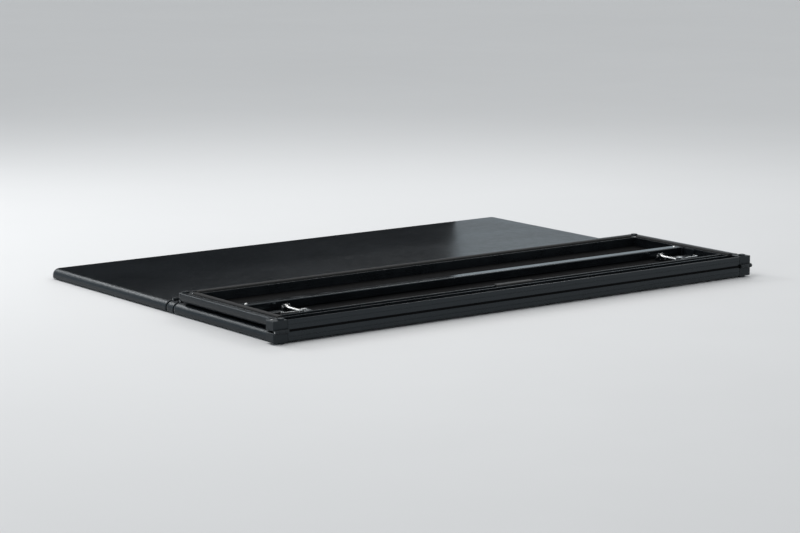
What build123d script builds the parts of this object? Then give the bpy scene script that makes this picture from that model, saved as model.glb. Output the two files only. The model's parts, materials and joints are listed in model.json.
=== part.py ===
from build123d import *
import os
from typing import NamedTuple

# A soft tri-fold pickup-bed cover, lying as it does with its rear panel folded forward on the middle one.
# X runs across the bed, +Y towards the cab, +Z up; the origin is the centre of the footprint, on the
# plane that the seals and corner feet stand on. Lengths are in millimetres.
#
# Each panel is drawn in its own frame. Its origin is on a hinge axis, its Y runs away from that hinge
# and its Z points out of the vinyl side, so one set of functions makes every panel.

# --- driving dimensions -------------------------------------------------------------------------
WIDTH = 1660.0             # across the vinyl on the side rails
FRONT_LENGTH = 650.0       # front hinge axis to the header edge
MID_LENGTH = 514.0         # between the two hinge axes of the middle panel
REAR_LENGTH = 500.0        # rear hinge axis to the tail edge
LINK_LENGTH = 36.0         # between the two axes of the double hinge

RAIL_HEIGHT = 26.0
SEAL_DROP = 5.0            # seals and feet below the rails
VINYL_T = 1.0
AXIS_LIFT = 2.0            # hinge axes above the vinyl
HINGE_GAP = 2.0            # rail face to hinge axis
WALL = 2.0

SIDE_RAIL_WIDTH = 42.0
END_RAIL_WIDTH = 50.0      # header and tail rails
EDGE_RADIUS = 18.0         # the rounded edge the vinyl is pulled over
CORNER_RADIUS = 22.0       # of the corner caps, seen from above
GROOVE_DEPTH = 4.0
SEAL_GROOVE = (3.0, 21.0)      # from the rail's inner edge
SPLINE_GROOVE = (11.0, 17.0)   # from the rail's outer edge
STRIP_PLAY = 0.5

HINGE_TUBE_WIDTH = 38.0
HINGE_LIP = 3.0            # walls on both sides of the channel under a hinge rail
CHANNEL_DEPTH = 11.0
REVEAL = 1.0               # line along the middle of the hinge rail's face
FLANGE_REACH = 72.0        # inner edge of the hinge rail's flange, from the axis
FLANGE_DEPTH = 9.0         # of the flange's inner face, from the underside
FLANGE_T = 2.5
BEAD_RADIUS = 2.4

BLOCK_END = 40.0           # inner end of a hinge block, from the axis
BLOCK_RADIUS = 4.0
KNUCKLE_R = 6.0
KNUCKLE_RELIEF = 0.5
KNUCKLE_NOTCH = 9.0        # cut out of the vinyl round a knuckle, from the axis
END_PLAY = 1.0             # between a rail and the block or cap at its end
SIDE_PLAY = 0.25
PIN_R = 3.0
PRESS_PLAY = 0.01
PIN_PLAY = 0.06

PAD_LENGTH = 130.0         # bumper pad clipped over the rear flange's bead
PAD_WIDTH = 20.0
PAD_RISE = 3.0
PAD_DEPTH = 6.0
PAD_EDGE = 76.0            # inner edge of the pad, from the axis
PAD_RADIUS = 3.0

BOW_WIDTH = 30.0
BOW_HEIGHT = 25.0
BOW_WALL = 1.8
BOW_RADIUS = 3.0
PLATE_RADIUS = 4.0         # corners of the bow brackets' and clamp brackets' plates
PLATE_HEIGHT = 22.0
BRACKET_T = 5.0            # end plate of a bow bracket
BRACKET_MARGIN = 6.0       # of the end plate, either side of the bow
TONGUE_LENGTH = 30.0
SLIP_PLAY = 0.2            # round a bow's tongue, and beside a rod's eye

FOOT_SIZE = 16.0
FOOT_RADIUS = 4.0
BLOCK_FOOT_Y = 11.0        # from the hinge axis
CAP_FOOT = (18.0, 22.0)    # from the cap's outer faces, across and along
BLOCK_SCREW_Y = 30.0
CAP_SCREW = (30.0, 38.0)
SCREW_R = 2.0
SCREW_HEAD_R = 4.2
SCREW_HEAD_H = 2.2
SCREW_LENGTH = 15.0
SCREW_PLAY = 0.1
COUNTERBORE_PLAY = 0.3

PIVOT_X = 670.0            # clamp rods, from the centre line
PIVOT_DEPTH = 16.5         # below the hinge axes
FRONT_PIVOT_Y = 540.0
REAR_PIVOT_Y = 204.0
ROD_R = 4.0
ROD_LENGTH = 122.0
EYE_R = 7.5
EYE_T = 11.2
EAR_T = 4.0
EAR_R = 9.0
PIN_HEAD_R = 5.0
PIN_HEAD_T = 2.9
ARM_T = 3.5                # of the clamp brackets' plates and arms
ARM_WIDTH = 26.0
CLAMP_PLATE = 44.0
JAW_PLAY = 0.08
JAW_END = 94.0             # knob side of the jaw, along the rod
JAW_HUB = 18.0
JAW_ARM_T = 6.0
JAW_REACH = 738.0          # hook side of the jaw, from the centre line
JAW_WIDTH = 16.0
LIP_LENGTH = 22.0
LIP_T = 5.0
KNOB_R = 11.8
KNOB_GAP = 0.3
KNOB_LENGTH = 25.7
FLUTES = 6
FLUTE_R = 3.2

# --- derived heights, below the hinge axes ------------------------------------------------------
VINYL_TOP = -AXIS_LIFT
RAIL_TOP = VINYL_TOP - VINYL_T
RAIL_BOTTOM = RAIL_TOP - RAIL_HEIGHT
FOOT_BOTTOM = RAIL_BOTTOM - SEAL_DROP
RAIL_MIDDLE = (RAIL_TOP + RAIL_BOTTOM) / 2
GROOVE_TOP = RAIL_BOTTOM + GROOVE_DEPTH
AXIS_Z = -FOOT_BOTTOM

RAIL_OUT = WIDTH / 2 - VINYL_T
RAIL_IN = RAIL_OUT - SIDE_RAIL_WIDTH
SIDE_START = BLOCK_END + 1.0
TUBE_END = HINGE_GAP + HINGE_TUBE_WIDTH


class HingeEnd(NamedTuple):
    """Where the blocks at the ends of a hinge lie, from the panel's centre line."""

    block_in: float        # inner face of the block, where its fork starts
    tongue: tuple          # the tongue runs between these, the fork outside them
    fork_out: float        # outer end of the fork
    block_out: float
    foot_x: float
    screw_x: float
    wrapped: bool          # the block has the side rail's section and the vinyl runs over it


STACK_HINGE = HingeEnd(801.0, (814.3, 832.7), 844.0, 845.0, foot_x=817.0, screw_x=833.0, wrapped=False)
DOUBLE_HINGE = HingeEnd(776.0, (787.5, 799.5), 810.0, RAIL_OUT, foot_x=802.0, screw_x=802.0, wrapped=True)

# --- panel frames -------------------------------------------------------------------------------
rest_length = KNUCKLE_R + MID_LENGTH + LINK_LENGTH + FRONT_LENGTH - VINYL_T
REAR_AXIS_Y = -rest_length / 2 + KNUCKLE_R
MID_AXIS_Y = REAR_AXIS_Y + MID_LENGTH
FRONT_AXIS_Y = MID_AXIS_Y + LINK_LENGTH

FRONT = Plane(origin=(0, FRONT_AXIS_Y, AXIS_Z), x_dir=(1, 0, 0), z_dir=(0, 0, 1))
LINK = Plane(origin=(0, FRONT_AXIS_Y, AXIS_Z), x_dir=(-1, 0, 0), z_dir=(0, 0, 1))
MID_FORWARD = Plane(origin=(0, MID_AXIS_Y, AXIS_Z), x_dir=(-1, 0, 0), z_dir=(0, 0, 1))
MID = Plane(origin=(0, REAR_AXIS_Y, AXIS_Z), x_dir=(1, 0, 0), z_dir=(0, 0, 1))
REAR = Plane(origin=(0, REAR_AXIS_Y, AXIS_Z), x_dir=(-1, 0, 0), z_dir=(0, 0, -1))

FRONT_BOW_Y = FRONT_LENGTH / 2
MID_BOW_Y = MID_LENGTH / 2
REAR_BOW_Y = REAR_LENGTH / 2

os.makedirs("parts", exist_ok=True)


def save(part, name):
    """Label a finished piece and write it."""
    part.label = name
    export_step(part, f"parts/{name}.step")


def across(frame, y):
    """Sketch plane across a panel: sketch X is the panel's width and sketch Y its depth."""
    origin = frame.from_local_coords(Vector(0, y, 0))
    return Plane(origin=origin, x_dir=frame.x_dir, z_dir=-frame.y_dir)


def along(frame, x):
    """Sketch plane along a panel: sketch X runs away from the hinge and sketch Y is the depth."""
    origin = frame.from_local_coords(Vector(x, 0, 0))
    return Plane(origin=origin, x_dir=frame.y_dir, z_dir=frame.x_dir)


def under(frame, x, y, depth):
    """Plane on a panel's underside, facing out of it."""
    origin = frame.from_local_coords(Vector(x, y, depth))
    return Plane(origin=origin, x_dir=frame.x_dir, z_dir=-frame.z_dir)


def pocket(x0, x1, y0, y1, mode=Mode.ADD):
    """Rectangle between two corners."""
    with Locations(((x0 + x1) / 2, (y0 + y1) / 2)):
        Rectangle(x1 - x0, y1 - y0, mode=mode)


def both_sides(right):
    """The right-hand piece together with its mirror image."""
    with BuildPart() as pair:
        add(right)
        mirror(right, about=Plane.YZ)
    return pair.part


# --- extrusions ---------------------------------------------------------------------------------
def edge_profile(inner, outer):
    """Section of a side, header or tail rail: hollow, rounded outer edge, two grooves underneath."""
    with BuildSketch() as profile:
        pocket(inner, outer, RAIL_BOTTOM, RAIL_TOP)
        corner = profile.vertices().group_by(Axis.Y)[-1].sort_by(Axis.X)[-1]
        fillet(corner, radius=EDGE_RADIUS)
        with BuildSketch(mode=Mode.PRIVATE) as hollow:
            pocket(inner + WALL, outer - WALL, GROOVE_TOP + WALL, RAIL_TOP - WALL)
            corner = hollow.vertices().group_by(Axis.Y)[-1].sort_by(Axis.X)[-1]
            fillet(corner, radius=EDGE_RADIUS - WALL)
        add(hollow.sketch, mode=Mode.SUBTRACT)
        pocket(inner + SEAL_GROOVE[0], inner + SEAL_GROOVE[1], RAIL_BOTTOM, GROOVE_TOP, mode=Mode.SUBTRACT)
        pocket(outer - SPLINE_GROOVE[1], outer - SPLINE_GROOVE[0], RAIL_BOTTOM, GROOVE_TOP,
               mode=Mode.SUBTRACT)
    return profile.sketch


def side_rail(frame, start, end):
    with BuildPart() as rail:
        with BuildSketch(across(frame, start)):
            add(edge_profile(RAIL_IN, RAIL_OUT))
        extrude(amount=-(end - start))
    return rail.part


def end_rail(frame, edge):
    with BuildPart() as rail:
        with BuildSketch(along(frame, 0)):
            add(edge_profile(edge - VINYL_T - END_RAIL_WIDTH, edge - VINYL_T))
        extrude(amount=RAIL_IN, both=True)
    return rail.part


def hinge_rail(frame, end):
    """Tube whose face meets its neighbour, open underneath, with an inner flange that ends in a bead."""
    channel_top = RAIL_BOTTOM + CHANNEL_DEPTH
    bead_y = FLANGE_REACH - BEAD_RADIUS
    flange_top = RAIL_BOTTOM + FLANGE_DEPTH
    with BuildPart() as rail:
        with BuildSketch(along(frame, 0)) as profile:
            pocket(HINGE_GAP, TUBE_END, RAIL_BOTTOM, RAIL_TOP)
            face = profile.vertices().group_by(Axis.X)[0].sort_by(Axis.Y)
            fillet(face[0], radius=HINGE_LIP)
            fillet(face[-1], radius=REVEAL)
            pocket(HINGE_GAP + WALL, TUBE_END - WALL, channel_top + WALL, RAIL_TOP - WALL, Mode.SUBTRACT)
            pocket(HINGE_GAP + HINGE_LIP, TUBE_END - HINGE_LIP, RAIL_BOTTOM, channel_top, Mode.SUBTRACT)
            pocket(HINGE_GAP, HINGE_GAP + REVEAL, RAIL_MIDDLE - REVEAL, RAIL_MIDDLE + REVEAL, Mode.SUBTRACT)
        extrude(amount=end.block_in - END_PLAY, both=True)
        with BuildSketch(along(frame, 0)):
            pocket(TUBE_END - FLANGE_T / 2, bead_y, flange_top - FLANGE_T, flange_top)
            pocket(bead_y - FLANGE_T / 2, bead_y + FLANGE_T / 2, RAIL_BOTTOM + BEAD_RADIUS, flange_top)
            with Locations((bead_y, RAIL_BOTTOM + BEAD_RADIUS)):
                Circle(BEAD_RADIUS)
        extrude(amount=min(RAIL_IN, end.block_in) - END_PLAY, both=True)
    return rail.part


def link_rail(frame):
    with BuildPart() as rail:
        with BuildSketch(along(frame, 0)):
            pocket(HINGE_GAP, LINK_LENGTH - HINGE_GAP, RAIL_BOTTOM, RAIL_TOP)
            pocket(HINGE_GAP + WALL, LINK_LENGTH - HINGE_GAP - WALL, RAIL_BOTTOM + WALL, RAIL_TOP - WALL,
                   Mode.SUBTRACT)
        extrude(amount=DOUBLE_HINGE.block_in - END_PLAY, both=True)
    return rail.part


def bow(frame, y):
    with BuildPart() as tube:
        with BuildSketch(along(frame, 0)):
            with Locations((y, RAIL_BOTTOM + BOW_HEIGHT / 2)):
                RectangleRounded(BOW_WIDTH, BOW_HEIGHT, BOW_RADIUS)
                RectangleRounded(BOW_WIDTH - 2 * BOW_WALL, BOW_HEIGHT - 2 * BOW_WALL, BOW_RADIUS / 2,
                                 mode=Mode.SUBTRACT)
        extrude(amount=RAIL_IN - BRACKET_T, both=True)
        for plane in bow_screws(frame, y):
            with Locations(plane):
                Hole(radius=SCREW_R + SCREW_PLAY, depth=BOW_RADIUS)
    return tube.part


def bow_brackets(frame, y):
    """End plates on the side rails, each with a tongue inside the bow."""
    inset = 2 * (BOW_WALL + SLIP_PLAY)
    with BuildPart() as bracket:
        with BuildSketch(along(frame, RAIL_IN)):
            with Locations((y, RAIL_MIDDLE)):
                RectangleRounded(BOW_WIDTH + 2 * BRACKET_MARGIN, PLATE_HEIGHT, PLATE_RADIUS)
        extrude(amount=-BRACKET_T)
        with BuildSketch(along(frame, RAIL_IN - BRACKET_T)):
            with Locations((y, RAIL_BOTTOM + BOW_HEIGHT / 2)):
                RectangleRounded(BOW_WIDTH - inset, BOW_HEIGHT - inset, BOW_RADIUS - BOW_WALL + SLIP_PLAY)
        extrude(amount=-TONGUE_LENGTH)
        with Locations(bow_screws(frame, y)[0]):
            Hole(radius=SCREW_R + SCREW_PLAY, depth=SCREW_LENGTH + END_PLAY)
    return both_sides(bracket.part)


# --- moulded blocks -----------------------------------------------------------------------------
def block_body(frame, end, start, stop):
    """Block between two places along a panel; a wrapped one has the side rail's section and groove."""
    with BuildPart() as block:
        if end.wrapped:
            with BuildSketch(across(frame, start)) as section:
                pocket(end.block_in, end.block_out, RAIL_BOTTOM, RAIL_TOP)
                fillet(section.vertices().group_by(Axis.Y)[-1].sort_by(Axis.X)[-1], radius=EDGE_RADIUS)
                pocket(end.block_out - SPLINE_GROOVE[1], end.block_out - SPLINE_GROOVE[0], RAIL_BOTTOM,
                       GROOVE_TOP, Mode.SUBTRACT)
            extrude(amount=start - stop)
        else:
            with BuildSketch(along(frame, end.block_in)):
                pocket(start, stop, RAIL_BOTTOM, VINYL_TOP)
            extrude(amount=end.block_out - end.block_in)
            outward = block.faces().sort_by(Axis.X)
            fillet(outward[-1 if frame.x_dir.X > 0 else 0].edges(), radius=BLOCK_RADIUS)
    return block.part


def hinge_block(frame, end, tongue):
    """Block on the end of a hinge rail, with either the tongue or the fork of the hinge knuckle."""
    with BuildPart() as block:
        add(block_body(frame, end, HINGE_GAP, BLOCK_END))
        add(foot(frame, end.foot_x, BLOCK_FOOT_Y))
        with Locations(block_screw(frame, end)):
            screw_hole()
    return both_sides(knuckles(block.part, frame, end, 0, 1, tongue))


def link_blocks(frame):
    """Blocks on the ends of the link rail, with a tongue on each of the two hinge axes."""
    block = block_body(frame, DOUBLE_HINGE, HINGE_GAP, LINK_LENGTH - HINGE_GAP)
    first = knuckles(block, frame, DOUBLE_HINGE, 0, 1, tongue=True)
    return both_sides(knuckles(first, frame, DOUBLE_HINGE, LINK_LENGTH, -1, tongue=True))


def screw_hole():
    CounterBoreHole(SCREW_R + SCREW_PLAY, SCREW_HEAD_R + COUNTERBORE_PLAY, SCREW_HEAD_H + SLIP_PLAY,
                    SCREW_LENGTH + END_PLAY)


def foot(frame, x, y):
    with BuildPart() as nub:
        with BuildSketch(under(frame, x, y, RAIL_BOTTOM)):
            RectangleRounded(FOOT_SIZE, FOOT_SIZE, FOOT_RADIUS)
        extrude(amount=SEAL_DROP)
    return nub.part


def knuckle_spans(end, tongue):
    low, high = end.tongue
    if tongue:
        return [(low + SIDE_PLAY, high - SIDE_PLAY)]
    return [(end.block_in, low - SIDE_PLAY), (high + SIDE_PLAY, end.fork_out)]


def barrels(frame, axis_y, spans, radius, extra=0.0, neck=0):
    """Cylinders on a hinge axis over the given spans, each longer by extra at both ends.

    A neck of 1 or -1 joins them to the block on that side of the axis.
    """
    with BuildPart() as barrel:
        for start, end in spans:
            with BuildSketch(along(frame, start - extra)):
                with Locations((axis_y, 0)):
                    Circle(radius)
                if neck:
                    pocket(*sorted((axis_y, axis_y + neck * radius)), RAIL_TOP, 0)
            extrude(amount=end - start + 2 * extra)
    return barrel.part


def knuckles(block, frame, end, axis_y, neck, tongue):
    """The block, cleared round the other part's knuckle, with its own knuckle and pin hole."""
    play = PIN_PLAY if tongue else PRESS_PLAY
    through = [(end.block_in, end.fork_out)]
    with BuildPart() as hinged:
        add(block)
        add(barrels(frame, axis_y, knuckle_spans(end, not tongue), KNUCKLE_R + KNUCKLE_RELIEF, 2 * SIDE_PLAY),
            mode=Mode.SUBTRACT)
        add(barrels(frame, axis_y, knuckle_spans(end, tongue), KNUCKLE_R, neck=neck))
        add(barrels(frame, axis_y, through, PIN_R + play, 2 * END_PLAY), mode=Mode.SUBTRACT)
    return hinged.part


def corner_caps(frame, edge):
    """Moulded corners that join the end rail to the side rails, each with a foot."""
    with BuildPart() as cap:
        with BuildSketch(frame.offset(RAIL_BOTTOM)):
            pocket(RAIL_IN, RAIL_OUT, edge - VINYL_T - END_RAIL_WIDTH, edge - VINYL_T)
        extrude(amount=RAIL_HEIGHT)
        upright = cap.edges().filter_by(Axis.Z)
        end = upright.group_by(Axis.Y)[-1]
        corner = end.sort_by(Axis.X)[-1] if frame.x_dir.X > 0 else end.sort_by(Axis.X)[0]
        fillet(corner, radius=CORNER_RADIUS)
        top = cap.faces().sort_by(Axis.Z)[-1] if frame.z_dir.Z > 0 else cap.faces().sort_by(Axis.Z)[0]
        inner_x = frame.from_local_coords(Vector(RAIL_IN, 0, 0)).X
        inner_y = frame.from_local_coords(Vector(0, edge - VINYL_T - END_RAIL_WIDTH, 0)).Y
        rounded = [line for line in top.edges()
                   if abs(line.center().X - inner_x) > WALL and abs(line.center().Y - inner_y) > WALL]
        fillet(rounded, radius=EDGE_RADIUS)
        add(foot(frame, RAIL_OUT - CAP_FOOT[0], edge - CAP_FOOT[1]))
        with Locations(cap_screw(frame, edge)):
            screw_hole()
    return both_sides(cap.part)


# --- soft parts ---------------------------------------------------------------------------------
def vinyl(frame, start, end, edge_inset, notches):
    """Flat sheet between the rounded edges, cut back round the hinge blocks."""
    half = RAIL_OUT - EDGE_RADIUS
    with BuildPart() as sheet:
        with BuildSketch(frame.offset(RAIL_TOP)):
            pocket(-half, half, start, end - edge_inset)
            for y, hinge in notches:
                inner = hinge.block_in - END_PLAY
                reach = KNUCKLE_NOTCH if hinge.wrapped else SIDE_START
                pocket(inner, half, y - reach, y + reach, Mode.SUBTRACT)
                pocket(-half, -inner, y - reach, y + reach, Mode.SUBTRACT)
        extrude(amount=VINYL_T)
    return sheet.part


def end_strip(frame, edge, near, far, low, high):
    """Strip along an end rail, near and far from its outer edge."""
    with BuildPart() as strip:
        with BuildSketch(along(frame, 0)):
            pocket(edge - VINYL_T - far, edge - VINYL_T - near, low, high)
        extrude(amount=RAIL_IN - 2, both=True)
    return strip.part


def side_strips(frame, start, end, near, far, low, high):
    """Strips along both side rails, near and far from their outer edges."""
    with BuildPart() as strip:
        with BuildSketch(across(frame, start)):
            pocket(RAIL_OUT - far, RAIL_OUT - near, low, high)
        extrude(amount=-(end - start))
    return both_sides(strip.part)


def seals(frame, start, end, edge=None):
    """Foam seals: one under each side rail, and one under the end rail where there is one."""
    low, high = FOOT_BOTTOM, GROOVE_TOP - 0.2
    inner, outer = SEAL_GROOVE[0] + STRIP_PLAY, SEAL_GROOVE[1] - STRIP_PLAY
    with BuildPart() as foam:
        add(side_strips(frame, start, end, SIDE_RAIL_WIDTH - outer, SIDE_RAIL_WIDTH - inner, low, high))
        if edge:
            add(end_strip(frame, edge, END_RAIL_WIDTH - outer, END_RAIL_WIDTH - inner, low, high))
    return foam.part


def splines(frame, start, end, edge=None):
    """Rubber splines that hold the vinyl in its grooves."""
    low, high = RAIL_BOTTOM + 0.4, GROOVE_TOP - 0.4
    near, far = SPLINE_GROOVE[0] + STRIP_PLAY, SPLINE_GROOVE[1] - STRIP_PLAY
    with BuildPart() as cord:
        add(side_strips(frame, start, end, near, far, low, high))
        if edge:
            add(end_strip(frame, edge, near, far, low, high))
    return cord.part


# --- fasteners ----------------------------------------------------------------------------------
def block_screw(frame, end):
    return under(frame, end.screw_x, BLOCK_SCREW_Y, RAIL_BOTTOM)


def cap_screw(frame, edge):
    return under(frame, RAIL_OUT - CAP_SCREW[0], edge - CAP_SCREW[1], RAIL_BOTTOM)


def bow_screws(frame, y):
    x = RAIL_IN - BRACKET_T - TONGUE_LENGTH / 2
    return [under(frame, x, y, RAIL_BOTTOM), under(frame, -x, y, RAIL_BOTTOM)]


def screws(planes, mirrored):
    """Pan-head screws driven in at each plane; the mirrored ones also on the other side."""
    with BuildPart() as heads:
        for plane, height in planes + mirrored:
            with Locations(plane):
                Cylinder(SCREW_R, SCREW_LENGTH, align=(Align.CENTER, Align.CENTER, Align.MAX))
                with Locations((0, 0, height)):
                    Cylinder(SCREW_HEAD_R, SCREW_HEAD_H, align=(Align.CENTER, Align.CENTER, Align.MIN))
        for plane, height in mirrored:
            twin = Plane(origin=Vector(-plane.origin.X, plane.origin.Y, plane.origin.Z),
                         x_dir=plane.x_dir, z_dir=plane.z_dir)
            with Locations(twin):
                Cylinder(SCREW_R, SCREW_LENGTH, align=(Align.CENTER, Align.CENTER, Align.MAX))
                with Locations((0, 0, height)):
                    Cylinder(SCREW_HEAD_R, SCREW_HEAD_H, align=(Align.CENTER, Align.CENTER, Align.MIN))
    return heads.part


def hinge_pins(frame, end):
    length = end.fork_out - end.block_in - 2 * END_PLAY
    with BuildPart() as pin:
        with BuildSketch(along(frame, end.block_in + END_PLAY)):
            Circle(PIN_R)
        extrude(amount=length)
    return both_sides(pin.part)


# --- clamps -------------------------------------------------------------------------------------
def clamp_brackets(frame, pivot_y):
    """Arms screwed to the side rails, each with two ears for the rod's pivot pin."""
    pivot = -PIVOT_DEPTH
    arm_bottom = pivot + EYE_R + END_PLAY
    arm_top = arm_bottom + ARM_T
    ear_gap = EYE_T / 2 + SLIP_PLAY
    with BuildPart() as bracket:
        with BuildSketch(along(frame, RAIL_IN)):
            with Locations((pivot_y, RAIL_MIDDLE)):
                RectangleRounded(CLAMP_PLATE, PLATE_HEIGHT, PLATE_RADIUS)
        extrude(amount=-ARM_T)
        with BuildSketch(along(frame, RAIL_IN)):
            pocket(pivot_y - ARM_WIDTH / 2, pivot_y + ARM_WIDTH / 2, arm_bottom, arm_top)
        extrude(amount=-(RAIL_IN - PIVOT_X + ear_gap + EAR_T))
        for x in (PIVOT_X - ear_gap - EAR_T, PIVOT_X + ear_gap):
            with BuildSketch(along(frame, x)):
                with Locations((pivot_y, pivot)):
                    Circle(EAR_R)
                pocket(pivot_y - EAR_R, pivot_y + EAR_R, pivot, arm_top)
                with Locations((pivot_y, pivot)):
                    Circle(PIN_R + PRESS_PLAY, mode=Mode.SUBTRACT)
            extrude(amount=EAR_T)
    return both_sides(bracket.part)


def clamp_pins(frame, pivot_y):
    """Pivot pins with a head at each end, outside the ears."""
    grip = EYE_T / 2 + 2 * SLIP_PLAY + EAR_T
    with BuildPart() as pin:
        with BuildSketch(along(frame, PIVOT_X)):
            with Locations((pivot_y, -PIVOT_DEPTH)):
                Circle(PIN_R)
        extrude(amount=grip + PIN_HEAD_T, both=True)
        for x in (PIVOT_X - grip - PIN_HEAD_T, PIVOT_X + grip):
            with BuildSketch(along(frame, x)):
                with Locations((pivot_y, -PIVOT_DEPTH)):
                    Circle(PIN_HEAD_R)
            extrude(amount=PIN_HEAD_T)
    return both_sides(pin.part)


def clamp_rod(frame, pivot_y, side):
    """Eye bolt, stowed along the panel and pointing at its hinge."""
    with BuildPart() as rod:
        with BuildSketch(along(frame, side * PIVOT_X)):
            with Locations((pivot_y, -PIVOT_DEPTH)):
                Circle(EYE_R)
        extrude(amount=EYE_T / 2, both=True)
        with BuildSketch(across(frame, pivot_y - ROD_LENGTH)):
            with Locations((side * PIVOT_X, -PIVOT_DEPTH)):
                Circle(ROD_R)
        extrude(amount=PIN_HEAD_R - ROD_LENGTH)
        with BuildSketch(along(frame, side * PIVOT_X)):
            with Locations((pivot_y, -PIVOT_DEPTH)):
                Circle(PIN_R + PIN_PLAY)
        extrude(amount=EYE_T, both=True, mode=Mode.SUBTRACT)
    return rod.part


def clamp_jaw(frame, pivot_y, side):
    """Hook that slides on the rod and reaches out under the bed rail's flange."""
    with BuildPart() as jaw:
        with BuildSketch(across(frame, pivot_y - JAW_END)):
            with Locations((side * PIVOT_X, -PIVOT_DEPTH)):
                RectangleRounded(JAW_HUB, JAW_HUB, BLOCK_RADIUS)
        extrude(amount=-JAW_HUB)
        with BuildSketch(across(frame, pivot_y - JAW_END)):
            with Locations((side * (PIVOT_X + JAW_REACH) / 2, -PIVOT_DEPTH)):
                Rectangle(JAW_REACH - PIVOT_X, JAW_WIDTH)
        extrude(amount=-JAW_ARM_T)
        with BuildSketch(across(frame, pivot_y - JAW_END)):
            with Locations((side * (JAW_REACH - LIP_T / 2), -PIVOT_DEPTH)):
                Rectangle(LIP_T, JAW_WIDTH)
        extrude(amount=-LIP_LENGTH)
        with BuildSketch(across(frame, pivot_y - JAW_END)):
            with Locations((side * PIVOT_X, -PIVOT_DEPTH)):
                Circle(ROD_R + JAW_PLAY)
        extrude(amount=-JAW_HUB, mode=Mode.SUBTRACT)
    return jaw.part


def clamp_knob(frame, pivot_y, side):
    """Fluted hand knob that turns on the rod and bears on the jaw."""
    with BuildPart() as knob:
        base = across(frame, pivot_y - JAW_END - KNOB_GAP)
        with BuildSketch(base):
            with Locations((side * PIVOT_X, -PIVOT_DEPTH)):
                Circle(KNOB_R)
                with PolarLocations(KNOB_R + FLUTE_R / 2, FLUTES):
                    Circle(FLUTE_R, mode=Mode.SUBTRACT)
        extrude(amount=KNOB_LENGTH)
        with BuildSketch(base):
            with Locations((side * PIVOT_X, -PIVOT_DEPTH)):
                Circle(ROD_R + PIN_PLAY)
        extrude(amount=KNOB_LENGTH, mode=Mode.SUBTRACT)
    return knob.part


# --- the cover ----------------------------------------------------------------------------------
SIDE_NAMES = {1: "right", -1: "left"}


def save_side_rails(panel, frame, end):
    rail = side_rail(frame, SIDE_START, end)
    with BuildPart() as other:
        mirror(rail, about=Plane.YZ)
    save(rail, f"{panel}_{SIDE_NAMES[round(frame.x_dir.X)]}_rail")
    save(other.part, f"{panel}_{SIDE_NAMES[-round(frame.x_dir.X)]}_rail")


def save_clamps(panel, frame, pivot_y):
    save(clamp_brackets(frame, pivot_y), f"{panel}_clamp_brackets")
    save(clamp_pins(frame, pivot_y), f"{panel}_clamp_pins")
    for side in (-1, 1):
        name = f"{panel}_{SIDE_NAMES[side * round(frame.x_dir.X)]}_clamp"
        save(clamp_rod(frame, pivot_y, side), f"{name}_rod")
        save(clamp_jaw(frame, pivot_y, side), f"{name}_jaw")
        save(clamp_knob(frame, pivot_y, side), f"{name}_knob")


# front panel
front_end = FRONT_LENGTH - VINYL_T - END_RAIL_WIDTH
save_side_rails("front", FRONT, front_end)
save(end_rail(FRONT, FRONT_LENGTH), "header_rail")
save(corner_caps(FRONT, FRONT_LENGTH), "header_corners")
save(hinge_rail(FRONT, DOUBLE_HINGE), "front_hinge_rail")
save(hinge_block(FRONT, DOUBLE_HINGE, tongue=False), "front_hinge_blocks")
save(hinge_pins(FRONT, DOUBLE_HINGE), "front_hinge_pins")
save(bow(FRONT, FRONT_BOW_Y), "front_bow")
save(bow_brackets(FRONT, FRONT_BOW_Y), "front_bow_brackets")
save(vinyl(FRONT, HINGE_GAP, FRONT_LENGTH - VINYL_T, EDGE_RADIUS, [(0, DOUBLE_HINGE)]), "front_vinyl")
save(splines(FRONT, HINGE_GAP, front_end, FRONT_LENGTH), "front_splines")
save(seals(FRONT, SIDE_START, front_end, FRONT_LENGTH), "front_seals")
save(screws([(plane, 0) for plane in bow_screws(FRONT, FRONT_BOW_Y)],
            [(block_screw(FRONT, DOUBLE_HINGE), -SCREW_HEAD_H),
             (cap_screw(FRONT, FRONT_LENGTH), -SCREW_HEAD_H)]),
     "front_screws")
save_clamps("front", FRONT, FRONT_PIVOT_Y)

# double hinge between the front and middle panels
save(link_rail(LINK), "link_rail")
save(link_blocks(LINK), "link_blocks")
link_notches = [(0, DOUBLE_HINGE), (LINK_LENGTH, DOUBLE_HINGE)]
save(vinyl(LINK, HINGE_GAP, LINK_LENGTH - HINGE_GAP, 0, link_notches), "link_vinyl")
save(splines(LINK, HINGE_GAP, LINK_LENGTH - HINGE_GAP), "link_splines")

# middle panel
mid_end = MID_LENGTH - SIDE_START
save_side_rails("mid", MID, mid_end)
save(hinge_rail(MID_FORWARD, DOUBLE_HINGE), "mid_front_hinge_rail")
save(hinge_rail(MID, STACK_HINGE), "mid_rear_hinge_rail")
with BuildPart() as mid_blocks:
    add(hinge_block(MID_FORWARD, DOUBLE_HINGE, tongue=False))
    add(hinge_block(MID, STACK_HINGE, tongue=False))
save(mid_blocks.part, "mid_hinge_blocks")
with BuildPart() as mid_pins:
    add(hinge_pins(MID_FORWARD, DOUBLE_HINGE))
    add(hinge_pins(MID, STACK_HINGE))
save(mid_pins.part, "mid_hinge_pins")
save(bow(MID, MID_BOW_Y), "mid_bow")
save(bow_brackets(MID, MID_BOW_Y), "mid_bow_brackets")
mid_notches = [(0, STACK_HINGE), (MID_LENGTH, DOUBLE_HINGE)]
save(vinyl(MID, HINGE_GAP, MID_LENGTH - HINGE_GAP, 0, mid_notches), "mid_vinyl")
save(splines(MID, SIDE_START, MID_LENGTH - HINGE_GAP), "mid_splines")
save(seals(MID, SIDE_START, mid_end), "mid_seals")
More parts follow.
